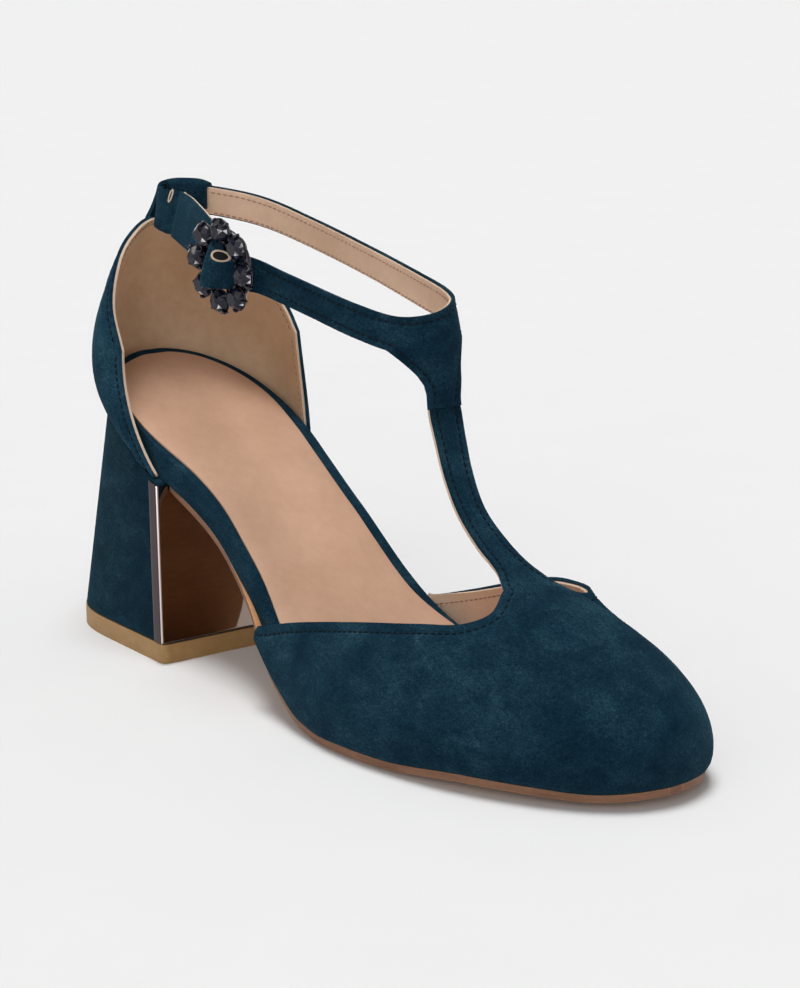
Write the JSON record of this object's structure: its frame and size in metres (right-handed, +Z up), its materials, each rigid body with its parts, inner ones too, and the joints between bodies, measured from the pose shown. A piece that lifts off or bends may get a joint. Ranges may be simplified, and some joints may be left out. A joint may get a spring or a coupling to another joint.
{
  "type": "pump shoe",
  "caption": "Suede pump with a closed round toe, open waist, flared block heel, and a T-strap joined to an ankle strap with a stone-set ring buckle.",
  "frame": {"origin": "middle of the bounding box, on the floor", "axes": "+X towards the toe, +Y towards the wearer's left (the inner side of this right shoe), +Z up"},
  "size_m": [0.2562, 0.0842, 0.1478],
  "materials": {
    "suede": "dark teal suede nap",
    "sock_leather": "smooth tan leather",
    "sole_sheet": "smooth terracotta sole sheet",
    "breast_mirror": "bronze mirror film",
    "lift_rubber": "ochre rubber",
    "buckle_metal": "gunmetal",
    "stone": "dark faceted glass"
  },
  "bodies": {
    "root": {"vamp": "suede", "counter": "suede", "ankle_strap": "suede", "back_loop": "suede", "heel": "suede", "insole": "suede", "sock": "sock_leather", "outsole": "sole_sheet", "breast_panel": "breast_mirror", "top_lift": "lift_rubber", "buckle_frame": "buckle_metal", "stone_1": "stone", "stone_2": "stone", "stone_3": "stone", "stone_4": "stone", "stone_5": "stone", "stone_6": "stone", "stone_7": "stone", "stone_8": "stone"}
  },
  "joints": []
}
